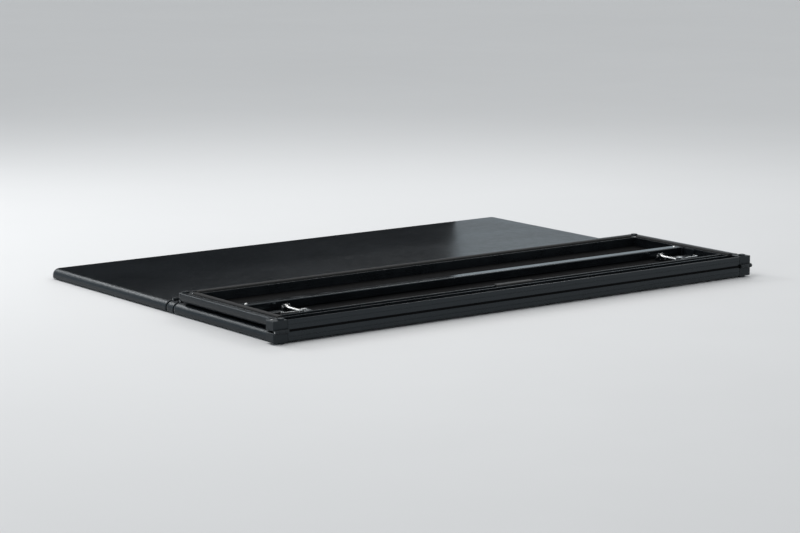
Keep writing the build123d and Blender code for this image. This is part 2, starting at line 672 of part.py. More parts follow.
save(screws([(plane, 0) for plane in bow_screws(MID, MID_BOW_Y)],
            [(block_screw(MID, STACK_HINGE), -SCREW_HEAD_H),
             (block_screw(MID_FORWARD, DOUBLE_HINGE), -SCREW_HEAD_H)]),
     "mid_screws")

# rear panel
rear_end = REAR_LENGTH - VINYL_T - END_RAIL_WIDTH
save_side_rails("rear", REAR, rear_end)
save(end_rail(REAR, REAR_LENGTH), "tail_rail")
save(corner_caps(REAR, REAR_LENGTH), "tail_corners")
rear_hinge_rail = hinge_rail(REAR, STACK_HINGE)
save(rear_hinge_rail, "rear_hinge_rail")
save(hinge_block(REAR, STACK_HINGE, tongue=True), "rear_hinge_blocks")
save(bow(REAR, REAR_BOW_Y), "rear_bow")
save(bow_brackets(REAR, REAR_BOW_Y), "rear_bow_brackets")
save(vinyl(REAR, HINGE_GAP, REAR_LENGTH - VINYL_T, EDGE_RADIUS, [(0, STACK_HINGE)]), "rear_vinyl")
save(splines(REAR, SIDE_START, rear_end, REAR_LENGTH), "rear_splines")
save(seals(REAR, SIDE_START, rear_end, REAR_LENGTH), "rear_seals")
save(screws([(plane, 0) for plane in bow_screws(REAR, REAR_BOW_Y)],
            [(block_screw(REAR, STACK_HINGE), -SCREW_HEAD_H), (cap_screw(REAR, REAR_LENGTH), -SCREW_HEAD_H)]),
     "rear_screws")
save_clamps("rear", REAR, REAR_PIVOT_Y)

# rubber pad clipped over the middle of the rear hinge rail's flange, for the folded stack to rest on
with BuildPart() as bumper_pad:
    with BuildSketch(along(REAR, 0)):
        pocket(PAD_EDGE - PAD_WIDTH, PAD_EDGE, RAIL_BOTTOM - PAD_RISE, RAIL_BOTTOM + PAD_DEPTH)
    extrude(amount=PAD_LENGTH / 2, both=True)
    fillet(bumper_pad.edges().filter_by(Axis.Z), radius=PAD_RADIUS)
    add(rear_hinge_rail, mode=Mode.SUBTRACT)
save(bumper_pad.part, "bumper_pad")
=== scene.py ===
import json
import math

import bmesh
import bpy
import numpy as np
from mathutils import Matrix, Vector, noise


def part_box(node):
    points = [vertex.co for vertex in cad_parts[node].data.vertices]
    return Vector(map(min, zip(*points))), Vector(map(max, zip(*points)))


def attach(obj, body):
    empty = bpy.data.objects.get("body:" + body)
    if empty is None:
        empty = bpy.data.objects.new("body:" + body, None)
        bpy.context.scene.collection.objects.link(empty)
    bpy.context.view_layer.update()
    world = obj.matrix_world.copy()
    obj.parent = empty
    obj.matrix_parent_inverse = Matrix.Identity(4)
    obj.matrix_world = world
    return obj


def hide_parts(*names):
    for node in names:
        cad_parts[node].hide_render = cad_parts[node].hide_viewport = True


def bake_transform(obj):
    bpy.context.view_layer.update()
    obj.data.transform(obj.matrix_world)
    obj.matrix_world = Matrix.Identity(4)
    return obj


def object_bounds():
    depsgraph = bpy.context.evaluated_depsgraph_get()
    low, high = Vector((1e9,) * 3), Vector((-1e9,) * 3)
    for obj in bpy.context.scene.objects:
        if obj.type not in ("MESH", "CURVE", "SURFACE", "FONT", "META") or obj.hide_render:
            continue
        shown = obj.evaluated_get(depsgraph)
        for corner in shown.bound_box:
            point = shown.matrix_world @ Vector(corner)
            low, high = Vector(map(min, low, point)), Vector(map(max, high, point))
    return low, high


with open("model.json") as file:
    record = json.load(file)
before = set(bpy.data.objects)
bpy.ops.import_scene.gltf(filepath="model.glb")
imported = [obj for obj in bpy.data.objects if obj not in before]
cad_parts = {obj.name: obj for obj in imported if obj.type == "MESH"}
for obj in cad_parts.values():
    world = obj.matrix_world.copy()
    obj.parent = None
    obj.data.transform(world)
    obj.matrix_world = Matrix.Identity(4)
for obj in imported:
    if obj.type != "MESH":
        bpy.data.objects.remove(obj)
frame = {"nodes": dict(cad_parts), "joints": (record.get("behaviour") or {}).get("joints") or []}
cad_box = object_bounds()
MM = 0.001

# ------------------------------------------------------------------ places, read from the frame
JOINTS = {joint["name"]: joint for joint in frame["joints"]}
FRONT_AXIS = Vector(JOINTS["front_fold"]["pos_m"])
MID_AXIS = Vector(JOINTS["mid_fold"]["pos_m"])
REAR_AXIS = Vector(JOINTS["rear_fold"]["pos_m"])

RAIL_LOW, RAIL_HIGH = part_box("mid_right_rail")
RAIL_IN = RAIL_LOW.x
RAIL_OUT = RAIL_HIGH.x
RAIL_TOP = RAIL_HIGH.z - MID_AXIS.z          # heights are measured from the hinge axes
RAIL_BOTTOM = RAIL_LOW.z - MID_AXIS.z
VINYL = 1 * MM                               # room for the sheet and its backing on the rails
HINGE_GAP = REAR_AXIS.z - RAIL_HIGH.z - VINYL
STACK_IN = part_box("rear_hinge_rail")[1].x    # ends of the hinge rails, inside their blocks
DOUBLE_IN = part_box("link_rail")[1].x
KNUCKLE_NOTCH = 9 * MM                       # cut in the skin round a knuckle of the double hinge
SIDE_START = RAIL_LOW.y - REAR_AXIS.y        # side rails, from the rear hinge axis
TUBE_END = SIDE_START - 1 * MM               # a hinge rail's far face, just short of the side rails
END_RAIL_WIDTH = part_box("header_rail")[1].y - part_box("header_rail")[0].y

SKIN_TOP = RAIL_TOP + VINYL
SKIN_OUT = RAIL_OUT + VINYL
SHEET_T = 0.85 * MM
CREASE_T = 0.7 * MM                          # thinner where it bends over a hinge axis
QUARTER = math.pi / 2


class Panel:
    """A panel's own frame: x across, y away from its hinge, z out of its vinyl side.

    A panel that wraps has the sheet pulled round its far rail too.
    """

    def __init__(self, body, hinge, forward, up, length, bow, wraps):
        self.body = body
        self.hinge = hinge
        self.forward = forward
        self.up = up
        self.length = length
        self.bow = bow
        self.wraps = wraps

    def place(self, points):
        points = np.asarray(points, float)
        world = points.copy()
        world[..., 1] = self.hinge.y + self.forward * points[..., 1]
        world[..., 2] = self.hinge.z + self.up * points[..., 2]
        return world

    def unrolled(self, y):
        """Place along the whole cover, as if the rear panel were unfolded."""
        return self.hinge.y + (self.forward if self.up > 0 else -1) * y


def bow_place(node, hinge):
    """How far a bow's middle is from a hinge axis."""
    low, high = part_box(node)
    return abs((low.y + high.y) / 2 - hinge.y)


FRONT = Panel("front_panel", FRONT_AXIS, 1, 1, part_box("header_rail")[1].y + VINYL - FRONT_AXIS.y,
              bow_place("front_bow", FRONT_AXIS), True)
LINK = Panel("hinge_link", MID_AXIS, 1, 1, FRONT_AXIS.y - MID_AXIS.y, 0, False)
MID = Panel("mid_panel", REAR_AXIS, 1, 1, MID_AXIS.y - REAR_AXIS.y, bow_place("mid_bow", REAR_AXIS), False)
REAR = Panel("rear_panel", REAR_AXIS, 1, -1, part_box("tail_rail")[1].y + VINYL - REAR_AXIS.y,
             bow_place("rear_bow", REAR_AXIS), True)


# ------------------------------------------------------------------ mesh helpers
def add_object(name, data):
    made = bpy.data.objects.new(name, data)
    bpy.context.scene.collection.objects.link(made)
    return made


def make_object(name, vertices, faces):
    mesh = bpy.data.meshes.new(name)
    mesh.from_pydata([tuple(v) for v in vertices], [], [tuple(f) for f in faces])
    mesh.validate()
    mesh.shade_smooth()
    return add_object(name, mesh)


def grid_faces(rows, columns, closed=False, flip=False, keep=None):
    """Quads between neighbouring rows; closed joins the last column to the first."""
    faces = []
    for i in range(rows - 1):
        for j in range(columns if closed else columns - 1):
            k = (j + 1) % columns
            if keep is not None and not keep(i, j):
                continue
            quad = (i * columns + j, i * columns + k, (i + 1) * columns + k, (i + 1) * columns + j)
            faces.append(quad[::-1] if flip else quad)
    return faces


def revolve(profile, segments, shape=None):
    """Rings about Z from (z, radius) pairs; shape(angle, z, radius) may vary the radius."""
    vertices = []
    for z, radius in profile:
        for step in range(segments):
            angle = 2 * math.pi * step / segments
            r = shape(angle, z, radius) if shape else radius
            vertices.append((r * math.cos(angle), r * math.sin(angle), z))
    faces = grid_faces(len(profile), segments, closed=True)
    return vertices, faces


def stamp(parts, placements):
    """Copies of a (vertices, faces) shape at each matrix, as one shape."""
    vertices, faces = [], []
    for matrix in placements:
        start = len(vertices)
        flip = matrix.determinant() < 0
        vertices += [matrix @ Vector(v) for v in parts[0]]
        for face in parts[1]:
            moved = tuple(start + i for i in face)
            faces.append(moved[::-1] if flip else moved)
    return vertices, faces


def turned(profile, segments):
    """A solid of revolution about Z, closed by a flat face at each end."""
    vertices, faces = revolve(profile, segments)
    last = len(vertices) - segments
    faces += [tuple(range(segments))[::-1], tuple(range(last, last + segments))]
    return vertices, faces


def prism(outline, half):
    """The outline drawn out to half on both sides of its plane."""
    count = len(outline)
    vertices = [(p.x, p.y, z) for z in (-half, half) for p in outline]
    faces = grid_faces(2, count, closed=True)
    faces += [tuple(range(count))[::-1], tuple(range(count, 2 * count))]
    return vertices, faces


def rounded(corners, steps=6):
    """Closed outline through (x, y, radius) corners in millimetres, with an arc at each."""
    outline = []
    for i, (x, y, radius) in enumerate(corners):
        here = Vector((x, y))
        before = (Vector(corners[i - 1][:2]) - here).normalized()
        after = (Vector(corners[(i + 1) % len(corners)][:2]) - here).normalized()
        half = before.angle(after) / 2
        centre = here + (before + after).normalized() * (radius / math.sin(half))
        start = here + before * (radius / math.tan(half)) - centre
        end = here + after * (radius / math.tan(half)) - centre
        first = math.atan2(start.y, start.x)
        sweep = math.remainder(math.atan2(end.y, end.x) - first, 2 * math.pi)
        for k in range(steps + 1):
            angle = first + sweep * k / steps
            point = centre + radius * Vector((math.cos(angle), math.sin(angle)))
            outline.append(point * MM)
    return outline


def joined(shapes):
    """Several (vertices, faces) shapes as one."""
    vertices, faces = [], []
    for shape in shapes:
        start = len(vertices)
        vertices += list(shape[0])
        faces += [tuple(start + i for i in face) for face in shape[1]]
    return vertices, faces


SWELL = 0.03                 # share by which a soft strip's section swells and shrinks along it


def extruded(section, start, end, across, up, steps, sway, seed):
    """A section carried from start to end in short steps, closed at both ends, swaying a little."""
    count = max(2, int(steps))
    axis = end - start
    vertices = []
    for i in range(count + 1):
        centre = start + axis * (i / count)
        drift = sway * noise.noise(Vector((i * 0.31 + seed, seed, 3.3)))
        for a, b in section:
            swell = 1 + (SWELL * noise.noise(Vector((i * 0.7 + seed, a * 90, b * 90))) if sway else 0)
            vertices.append(centre + across * (a * swell + drift) + up * b)
    faces = grid_faces(count + 1, len(section), closed=True)
    faces.append(tuple(range(len(section)))[::-1])
    faces.append(tuple(count * len(section) + i for i in range(len(section))))
    return vertices, faces


def fix_normals(piece):
    """Turns every face of a closed shape outwards."""
    work = bmesh.new()
    work.from_mesh(piece.data)
    bmesh.ops.recalc_face_normals(work, faces=work.faces)
    work.to_mesh(piece.data)
    work.free()


def finish_solid(piece, material, sharp):
    """Outward faces, edges sharper than the angle (degrees) left sharp, and one material."""
    fix_normals(piece)
    piece.data.set_sharp_from_angle(angle=math.radians(sharp))
    piece.data.materials.append(material)


def remove_loose(piece):
    """Rebuilds a sheet from its faces, so that no point is left without one."""
    used = set(v for polygon in piece.data.polygons for v in polygon.vertices)
    order = {old: new for new, old in enumerate(sorted(used))}
    vertices = [piece.data.vertices[old].co.copy() for old in sorted(used)]
    faces = [tuple(order[v] for v in polygon.vertices) for polygon in piece.data.polygons]
    mesh = bpy.data.meshes.new(piece.name)
    mesh.from_pydata(vertices, [], faces)
    mesh.shade_smooth()
    piece.data = mesh


def sculpted(base, steps):
    """The base shape after each (operation, shape) step has been joined to it or cut out of it."""
    solids = [make_object("base", *base)] + [make_object("step", *shape) for operation, shape in steps]
    for solid in solids:
        fix_normals(solid)
    for (operation, shape), solid in zip(steps, solids[1:]):
        change = solids[0].modifiers.new(operation, "BOOLEAN")
        change.operation = operation
        change.solver = "EXACT"
        change.object = solid
    result = bpy.data.meshes.new_from_object(solids[0].evaluated_get(bpy.context.evaluated_depsgraph_get()))
    shape = [v.co.copy() for v in result.vertices], [tuple(p.vertices) for p in result.polygons]
    for solid in solids:
        bpy.data.objects.remove(solid)
    return shape


def spaced(start, end, step):
    """Even places from start to end, about a step apart."""
    return list(np.linspace(start, end, max(2, round((end - start) / step) + 1)))


def ease(value):
    """Smooth step from 0 to 1."""
    value = np.clip(value, 0, 1)
    return value * value * (3 - 2 * value)


# ------------------------------------------------------------------ materials
def add_node(tree, kind, inputs, **settings):
    """A shader node with its settings, and with each input linked or set."""
    made = tree.nodes.new(kind)
    for name, value in settings.items():
        setattr(made, name, value)
    for name, value in inputs.items():
        if isinstance(value, bpy.types.NodeSocket):
            tree.links.new(value, made.inputs[name])
        else:
            made.inputs[name].default_value = value
    return made


class Surface:
    """A Principled material whose colour, roughness and relief come from procedural textures."""

    def __init__(self, name, **sockets):
        self.material = bpy.data.materials.new(name)
        self.material.use_nodes = True
        self.tree = self.material.node_tree
        self.shader = self.tree.nodes["Principled BSDF"]
        self.place = self.tree.nodes.new("ShaderNodeTexCoord").outputs["Object"]
        self.normal = None
        for socket, value in sockets.items():
            self.shader.inputs[socket.replace("_", " ")].default_value = value

    def node(self, kind, inputs, **settings):
        return add_node(self.tree, kind, inputs, **settings)

    def stretched(self, scale):
        return self.node("ShaderNodeMapping", {"Vector": self.place, "Scale": scale}).outputs[0]

    def noise(self, scale, detail=3.0, roughness=0.55, stretch=(1, 1, 1)):
        return self.node("ShaderNodeTexNoise", {"Vector": self.stretched(stretch), "Scale": scale,
                                                "Detail": detail, "Roughness": roughness}).outputs[0]

    def cells(self, scale, feature="F1"):
        return self.node("ShaderNodeTexVoronoi", {"Vector": self.stretched((1, 1, 1)), "Scale": scale},
                         feature=feature).outputs["Distance"]

    def math(self, operation, a, b=0.0):
        return self.node("ShaderNodeMath", {0: a, 1: b}, operation=operation).outputs[0]

    def spread(self, value, low, high, out_low=0.0, out_high=1.0):
        return self.node("ShaderNodeMapRange", {"Value": value, "From Min": low, "From Max": high,
                                                "To Min": out_low, "To Max": out_high}).outputs[0]

    def colour(self, amount, dark, light):
        mixed = self.node("ShaderNodeMix", {0: amount, 6: (*dark, 1), 7: (*light, 1)}, data_type="RGBA")
        self.tree.links.new(mixed.outputs[2], self.shader.inputs["Base Color"])

    def rough(self, amount, low, high):
        self.tree.links.new(self.spread(amount, 0.0, 1.0, low, high), self.shader.inputs["Roughness"])

    def bump(self, height, distance, strength=1.0):
        inputs = {"Height": height, "Distance": distance, "Strength": strength}
        if self.normal is not None:
            inputs["Normal"] = self.normal
        self.normal = self.node("ShaderNodeBump", inputs).outputs[0]
        self.tree.links.new(self.normal, self.shader.inputs["Normal"])


COOL = (0.80, 0.92, 1.0, 1.0)                # tint of the reflections in the black coats and the vinyl
WEAVE = 1.9 * MM                             # two threads of the backing


def vinyl_surface():
    """Leather-grained vinyl: fine pebbles, a slow change of tone and a little dust."""
    s = Surface("vinyl_face", Specular_IOR_Level=0.25, Specular_Tint=COOL)
    warp = s.noise(300, 2)
    pebble = s.cells(620)
    crease = s.cells(360, "DISTANCE_TO_EDGE")
    cloud = s.noise(3.5, 4)
    dust = s.noise(38, 5, 0.65)
    s.colour(s.math("MULTIPLY", s.spread(cloud, 0.3, 0.75), s.spread(dust, 0.3, 0.8)),
             (0.0048, 0.0060, 0.0076), (0.0115, 0.0138, 0.0168))
    s.rough(s.spread(s.math("ADD", dust, s.math("MULTIPLY", cloud, 0.6)), 0.4, 1.1), 0.25, 0.37)
    s.bump(s.noise(60, 3), 0.35 * MM, 0.5)
    s.bump(s.spread(crease, 0.0, 0.25), 0.12 * MM, 0.7)
    s.bump(s.math("ADD", pebble, s.math("MULTIPLY", warp, 0.7)), 0.10 * MM, 0.7)
    return s.material


def backing_surface():
    """Black polyester scrim that backs the vinyl: a plain weave of round threads."""
    s = Surface("vinyl_backing", Specular_IOR_Level=0.06)
    split = s.node("ShaderNodeSeparateXYZ", {"Vector": s.place})
    threads = 2 * math.pi / WEAVE
    warp = s.math("SINE", s.math("MULTIPLY", split.outputs[0], threads))
    weft = s.math("SINE", s.math("MULTIPLY", split.outputs[1], threads))
    weave = s.spread(s.math("MULTIPLY", warp, weft), -1.0, 1.0)
    cloud = s.noise(9, 4)
    s.colour(s.math("MULTIPLY", weave, s.spread(cloud, 0.2, 0.8)),
             (0.0015, 0.0015, 0.0017), (0.0065, 0.0066, 0.0072))
    s.rough(weave, 0.95, 0.8)
    s.bump(weave, 0.25 * MM, 0.8)
    s.bump(s.noise(900, 2), 0.08 * MM, 0.5)
    return s.material


def coated_surface(name, run, rough=0.26, gloss=0.40):
    """Black powder coat over an extrusion: orange peel, and faint die lines along its run (an axis)."""
    s = Surface(name, Specular_IOR_Level=gloss, Specular_Tint=COOL)
    stretch = tuple(1.2 if axis == run else 420 for axis in range(3))
    lines = s.noise(1.0, 2, 0.5, stretch)
    cloud = s.noise(14, 4)
    s.colour(s.math("MULTIPLY", s.spread(lines, 0.3, 0.7), s.spread(cloud, 0.2, 0.8)),
             (0.0030, 0.0036, 0.0044), (0.0072, 0.0084, 0.0100))
    s.rough(s.spread(s.math("ADD", cloud, s.math("MULTIPLY", lines, 0.5)), 0.45, 1.05),
            rough - 0.05, rough + 0.12)
    s.bump(lines, 0.08 * MM, 0.45)
    s.bump(s.noise(700, 2), 0.05 * MM, 0.5)
    return s.material


def nylon_surface(name, low, high):
    """Glass-filled nylon with a spark-eroded texture and faint flow marks."""
    s = Surface(name, Specular_IOR_Level=0.35, Specular_Tint=COOL)
    flow = s.noise(22, 4, stretch=(1, 3, 1))
    grain = s.noise(1500, 2)
    s.colour(s.spread(flow, 0.3, 0.75), (0.0040, 0.0045, 0.0052), (0.0092, 0.0100, 0.0115))
    s.rough(s.spread(s.math("ADD", grain, flow), 0.6, 1.4), low, high)
    s.bump(grain, 0.07 * MM, 0.7)
    return s.material


def rubber_surface():
    """Matt rubber with a cloudy grey bloom."""
    s = Surface("black_rubber")
    bloom = s.noise(30, 5)
    s.colour(s.spread(bloom, 0.35, 0.8), (0.0065, 0.0065, 0.0068), (0.017, 0.017, 0.0175))
    s.rough(bloom, 0.6, 0.85)
    s.bump(s.noise(800, 3), 0.06 * MM, 0.7)
    return s.material


def foam_surface():
    """Closed-cell seal foam: small open pores in a dull skin, with painted shade darkening the colour in
    each pore's hollow.
    """
    s = Surface("seal_foam_face")
    pore_hollows_and_painted_shade = s.cells(900)
    tone = s.noise(45, 4)
    # painted shade: the colour is darkest at each pore's centre, where the bump sinks the pore; the cloudy
    # tone is the foam's own
    s.colour(s.math("MULTIPLY", s.spread(pore_hollows_and_painted_shade, 0.1, 0.6), s.spread(tone, 0.2, 0.8)),
             (0.004, 0.004, 0.004), (0.022, 0.022, 0.0225))
    s.rough(tone, 0.82, 0.98)
    s.bump(s.spread(pore_hollows_and_painted_shade, 0.0, 0.45), 0.3 * MM, 0.8)
    return s.material


def zinc_surface(name, grain, low, high, dark, light):
    """Bright zinc plate: soft crystal patches, fine scratches and a slight dulling."""
    s = Surface(name, Metallic=1.0)
    patches = s.cells(grain)
    haze = s.noise(70, 5)
    s.colour(s.spread(s.math("ADD", s.math("MULTIPLY", patches, 0.5), haze), 0.3, 0.95), dark, light)
    s.rough(haze, low, high)
    s.bump(s.noise(500, 3), 0.03 * MM, 0.5)
    return s.material


VINYL_FACE = vinyl_surface()
BACKING = backing_surface()
COAT_ACROSS = coated_surface("rail_coat_across", 0)
COAT_ALONG = coated_surface("rail_coat_along", 1)
BOW_COAT = coated_surface("bow_coat", 0, rough=0.16, gloss=0.6)
STEEL_COAT = coated_surface("bracket_coat", 2)
NYLON = nylon_surface("black_nylon", 0.42, 0.6)
RUBBER = rubber_surface()
FOAM = foam_surface()
ZINC = zinc_surface("zinc_plate", 260.0, 0.24, 0.42, (0.42, 0.43, 0.43), (0.66, 0.66, 0.65))
STEEL = zinc_surface("plated_steel", 500.0, 0.2, 0.34, (0.5, 0.5, 0.5), (0.72, 0.72, 0.71))
KNOB_FACE = nylon_surface("knob_nylon", 0.28, 0.45)


def finish_cad(name, material, bevel=0.5 * MM):
    """Gives a carried-over node its material, and small rounds on its sharp edges."""
    node = frame["nodes"][name]
    node.data.materials.clear()
    node.data.materials.append(material)
    weld = node.modifiers.new("weld", "WELD")
    weld.merge_threshold = 0.00001
    flat = node.modifiers.new("flat", "DECIMATE")
    flat.decimate_type = "DISSOLVE"
    flat.angle_limit = math.radians(1.0)
    soften(node, bevel)


def soften(piece, width):
    """Small rounds on a piece's sharp edges."""
    edge = piece.modifiers.new("bevel", "BEVEL")
    edge.width = width
    edge.segments = 3
    edge.limit_method = "ANGLE"
    edge.angle_limit = math.radians(40)
    edge.harden_normals = True
    edge.miter_outer = "MITER_ARC"


# ------------------------------------------------------------------ the vinyl skin
EDGE_FLAT = 4 * MM
EDGE_ROUND = SKIN_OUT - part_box("mid_vinyl")[1].x
HEM_ROUND = 2.5 * MM                         # under the rail's lower edge
HEM_TUCK = 0.8 * MM                          # into the spline groove
HEM_END = 2.2 * MM
HEM_REACH = RAIL_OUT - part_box("mid_splines")[1].x
SKIRT = SKIN_TOP - RAIL_BOTTOM + VINYL - EDGE_ROUND - HEM_ROUND
EDGE_PATH = [(EDGE_FLAT, 0), (EDGE_ROUND * QUARTER, QUARTER), (SKIRT, 0), (HEM_ROUND * QUARTER, QUARTER),
             (HEM_REACH - HEM_ROUND - HEM_TUCK + VINYL, 0), (HEM_TUCK * QUARTER, QUARTER), (HEM_END, 0)]
EDGE_STEPS = [1, 12, 2, 4, 3, 3, 1]          # one for each (length, turn) of the path
INNER_X = SKIN_OUT - EDGE_FLAT - EDGE_ROUND
KNUCKLE_OUT = SKIN_OUT - EDGE_ROUND          # the flat top's edge, where the double hinge's knuckles end


def follow(path, distance):
    """Outward reach and drop at a distance along a path of (length, turn) pieces."""
    out = down = heading = 0.0
    for length, turn in path:
        part = min(distance, length)
        bend = turn * part / length
        if turn:
            radius = length / turn
            out += radius * (math.sin(heading + bend) - math.sin(heading))
            down += radius * (math.cos(heading) - math.cos(heading + bend))
        else:
            out += part * math.cos(heading)
            down += part * math.sin(heading)
        heading += bend
        distance -= part
        if distance <= 0:
            break
    return out, down


def edge_distances():
    """Distances past the flat part at which the wrapped edge is drawn."""
    places, start = [], 0.0
    for (length, turn), steps in zip(EDGE_PATH, EDGE_STEPS):
        places += [start + length * (i + 1) / steps for i in range(steps)]
        start += length
    return places


def wrapped(u, v, end):
    """Place of a point (u, v) of the flat sheet; end is where its far edge starts to wrap, if it does."""
    over_x = max(abs(u) - INNER_X, 0.0)
    over_y = max(v - end, 0.0) if end else 0.0
    reach = max(over_x, over_y)
    if reach == 0:
        return (u, v, SKIN_TOP)
    out, down = follow(EDGE_PATH, reach)
    side = math.copysign(1, u)
    if over_y == 0:
        return (side * (INNER_X + out), v, SKIN_TOP - down)
    if over_x == 0:
        return (u, end + out, SKIN_TOP - down)
    turn = min(over_x, over_y) / reach * math.pi / 4
    if over_y > over_x:
        turn = QUARTER - turn
    return (side * (INNER_X + out * math.cos(turn)), end + out * math.sin(turn), SKIN_TOP - down)


HINGE_LINES = [FRONT_AXIS.y, MID_AXIS.y, REAR_AXIS.y]
HINGE_PUCKER, HINGE_FADE = 0.32 * MM, 55 * MM        # height of the puckers, and how soon they fade
SIDE_PUCKER, SIDE_FADE = 0.30 * MM, 45 * MM
DRIFT = 0.4 * MM                                     # slow waves over the whole sheet


def waves(x, along, coarse, fine):
    """Two sizes of noise; each of coarse and fine is waves a metre across, along, and a seed."""
    first, second = (noise.noise(Vector((x * across, along * down, seed)))
                     for across, down, seed in (coarse, fine))
    return first + 0.5 * second


def ripples(x, along):
    """Small puckers of the sheet where it is pulled over the hinges and the side rails."""
    near_hinge = sum(math.exp(-abs(along - line) / HINGE_FADE) for line in HINGE_LINES)
    near_side = math.exp(-abs(abs(x) - RAIL_IN) / SIDE_FADE)
    at_hinge = waves(x, along, (19, 3.1, 2.0), (41, 6, 7.0))
    at_side = waves(x, along, (4.0, 17, 11.0), (7, 37, 5.0))
    drift = noise.noise(Vector((x * 2.3, along * 3.3, 17.0)))
    return HINGE_PUCKER * near_hinge * at_hinge + SIDE_PUCKER * near_side * at_side + DRIFT * drift


BOW_SAG = 0.7 * MM           # how far the sheet lies below the rails' tops at the bow
BAY_SAG = 1.3 * MM           # how much further it dips between the bow and a rail


def sag(panel, x, y):
    """The sheet lies on the rails, dips a little over each bay and touches the bow."""
    if not panel.bow:
        return 0.0
    far = panel.length - (END_RAIL_WIDTH if panel.wraps else TUBE_END)
    side = float(ease((RAIL_IN - abs(x)) / (110 * MM)))
    ends = float(ease(min(y - TUBE_END, far - y) / (100 * MM)))
    bay = float(ease((abs(y - panel.bow) - 15 * MM) / (85 * MM)))
    return -(BOW_SAG + BAY_SAG * bay) * side * ends


GATHER = 0.6 * MM            # height of the pleats gathered round a wrapped corner
PLEATS = 26                  # a radian


def skin_grid(panel, rows, columns, end):
    """Points of the sheet's outer face in the panel's frame, with sag and puckers along its normal."""
    base = np.array([[wrapped(u, v, end) for u in columns] for v in rows])
    across = np.gradient(base, axis=1)
    along = np.gradient(base, axis=0)
    normal = np.cross(across, along)
    normal /= np.maximum(np.linalg.norm(normal, axis=2, keepdims=True), 1e-12)
    shift = np.zeros(base.shape[:2])
    for i, v in enumerate(rows):
        for j, u in enumerate(columns):
            over = max(abs(u) - INNER_X, (v - end) if end else 0.0, 0.0)
            amount = sag(panel, u, v)
            wave = ripples(u, panel.unrolled(v))
            if abs(u) > RAIL_IN or v > panel.length - END_RAIL_WIDTH or over:
                wave = abs(wave) * 0.8           # on a rail the sheet can only rise
            if end and abs(u) > INNER_X and v > end:
                fold = math.atan2(v - end, abs(u) - INNER_X)
                gather = float(ease((over - 18 * MM) / (22 * MM)))
                wave += GATHER * gather * (0.5 + 0.5 * math.sin(fold * PLEATS))
            shift[i, j] = amount + wave
    return base + normal * shift[..., None]


def skin_columns():
    """Shared columns, so that neighbouring pieces of the sheet meet point to point."""
    step = 9 * MM
    double = spaced(0, DOUBLE_IN, step)
    stack = double + spaced(DOUBLE_IN, STACK_IN, step)[1:]
    whole = stack + [INNER_X] + [INNER_X + d for d in edge_distances()]
    return [[-u for u in places[:0:-1]] + places for places in (whole, double, stack)]


COLUMNS, DOUBLE_COLUMNS, STACK_COLUMNS = skin_columns()


def dress(piece, thickness):
    """Vinyl outside, woven backing inside and on the cut edges."""
    piece.data.materials.append(VINYL_FACE)
    piece.data.materials.append(BACKING)
    solid = piece.modifiers.new("thickness", "SOLIDIFY")
    solid.thickness = thickness
    solid.offset = -1
    solid.material_offset = 1
    solid.material_offset_rim = 1
    solid.use_quality_normals = True


def in_notch(notches, x, y):
    """Whether the sheet is cut away there; each notch is a hinge's y, and whether the hinge is double."""
    for hinge_y, double in notches:
        if double and DOUBLE_IN < x < KNUCKLE_OUT and abs(y - hinge_y) < KNUCKLE_NOTCH:
            return True
        if not double and x > STACK_IN and abs(y - hinge_y) < SIDE_START:
            return True
    return False


def sheet_piece(name, panel, node, rows, end, notches):
    """The sheet between its first and last row, with its notches, put on its panel."""

    def kept(i, j):
        return not in_notch(notches, abs(COLUMNS[j] + COLUMNS[j + 1]) / 2, (rows[i] + rows[i + 1]) / 2)

    world = panel.place(skin_grid(panel, rows, COLUMNS, end)).reshape(-1, 3)
    faces = grid_faces(len(rows), len(COLUMNS), keep=kept, flip=panel.up * panel.forward < 0)
    piece = make_object(name, world, faces)
    remove_loose(piece)
    dress(piece, SHEET_T)
    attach(piece, panel.body)
    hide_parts(node)


def panel_skin(panel, name, node, notches):
    """One panel's stretch of the sheet, pulled round its side rails and, if it wraps, its end rail."""
    step = 8 * MM
    rows = [HINGE_GAP, KNUCKLE_NOTCH, 17 * MM, 25 * MM, 33 * MM, SIDE_START]
    end = None
    if panel.wraps:
        end = panel.length - EDGE_FLAT - EDGE_ROUND
        rows += spaced(SIDE_START, end, step)[1:] + [end + d for d in edge_distances()]
    else:
        mirrored = [panel.length - v for v in rows[-2::-1]]
        rows += spaced(SIDE_START, panel.length - SIDE_START, step)[1:] + mirrored
    sheet_piece(name, panel, node, rows, end, notches)


def link_skin():
    """The narrow stretch of the sheet on the double hinge."""
    step = 4 * MM
    ends = spaced(HINGE_GAP, KNUCKLE_NOTCH, step)
    rows = ends + spaced(KNUCKLE_NOTCH, LINK.length - KNUCKLE_NOTCH, step)[1:-1]
    rows += [LINK.length - v for v in reversed(ends)]
    notches = [(0, True), (LINK.length, True)]
    sheet_piece("link_skin", LINK, "link_vinyl", rows, None, notches)


def seam(name, axis, columns, section, folded):
    """A strip of the sheet across one hinge axis; section gives (y, z, share of the way across)."""
    points = []
    for y, z, share in section:
        along = axis.y + HINGE_GAP * (1 - 2 * share)
        up = 1 - 2 * share if folded else 1
        points += [(x, axis.y + y, axis.z + z + up * ripples(x, along)) for x in columns]
    piece = make_object(name, points, grid_faces(len(section), len(columns), flip=True))
    dress(piece, CREASE_T)
    return piece


def flat_seam(name, axis):
    """Where the sheet runs straight on: a shallow crease in it over the axis."""
    steps, depth = 8, 0.7 * MM
    section = []
    for i in range(steps + 1):
        share = i / steps
        dip = depth * (0.5 - 0.5 * math.cos(2 * math.pi * share))
        section.append((HINGE_GAP * (1 - 2 * share), SKIN_TOP - dip, share))
    piece = seam(name, axis, DOUBLE_COLUMNS, section, False)
    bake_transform(piece)
    return piece


